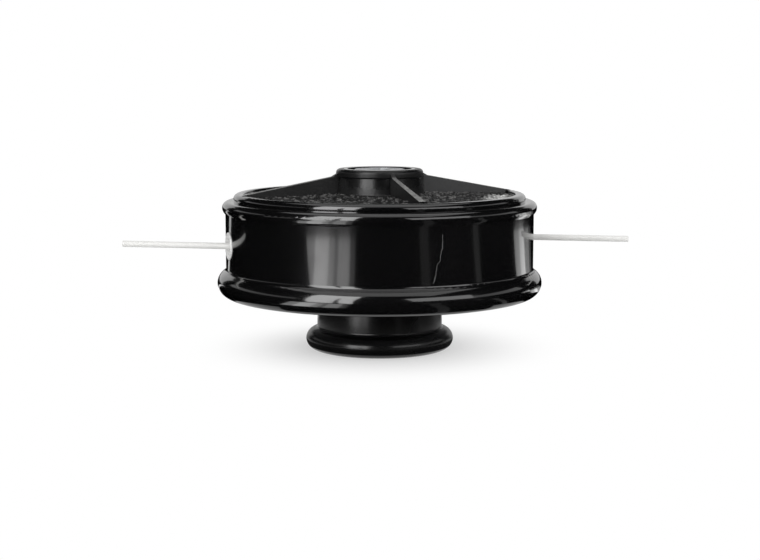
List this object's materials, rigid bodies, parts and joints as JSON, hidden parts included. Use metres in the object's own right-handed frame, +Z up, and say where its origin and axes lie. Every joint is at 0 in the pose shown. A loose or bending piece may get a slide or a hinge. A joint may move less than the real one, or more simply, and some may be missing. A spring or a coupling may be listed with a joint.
{
  "type": "bump feed trimmer head",
  "caption": "Round black drum with a ribbed top, threaded hub and rounded lip, clear nylon line out of opposite eyelets, and a spring loaded bump knob below that feeds line.",
  "frame": {"origin": "centre of the bump knob's flat foot", "axes": "+Z up the arbor towards the hub, +X through the right eyelet"},
  "size_m": [0.196, 0.127, 0.0706],
  "materials": {
    "gloss_black_nylon": "gloss moulded nylon, fine grain on the top plate",
    "gloss_black_nylon_knob": "gloss moulded nylon",
    "grey_spool_nylon": "matte moulded nylon",
    "clear_line_nylon": "clear drawn nylon line",
    "zinc_steel": "zinc plated steel",
    "spring_steel": "drawn spring steel",
    "bright_eyelet_metal": "bright nickel plated",
    "bronze": "plain bronze"
  },
  "bodies": {
    "housing": {"housing": "gloss_black_nylon", "arbor": "zinc_steel", "hub_nut": "zinc_steel", "lock_washer": "spring_steel", "eyelet_left": "bright_eyelet_metal", "eyelet_right": "bright_eyelet_metal", "spring": "spring_steel", "retaining_washer": "zinc_steel", "retaining_screw": "zinc_steel", "line_end_left": "clear_line_nylon", "line_end_right": "clear_line_nylon"},
    "spring_seat": {"spring_washer": "zinc_steel"},
    "spool": {"spool": "grey_spool_nylon", "spool_bush": "bronze", "line_winding_upper": "clear_line_nylon", "line_winding_lower": "clear_line_nylon", "bump_knob": "gloss_black_nylon_knob"}
  },
  "joints": [
    {"name": "knob_bump", "type": "slide", "parent": "housing", "child": "spring_seat", "axis": [0, 0, 1], "range_m": [0, 0.007], "stiffness_N_per_m": 3000, "springref_m": -0.012, "deforming": ["spring"]},
    {"name": "spool_turn", "type": "hinge", "parent": "spring_seat", "child": "spool", "pos_m": [0, 0, 0.03], "axis": [0, 0, 1], "range_deg": [0, 50]}
  ]
}
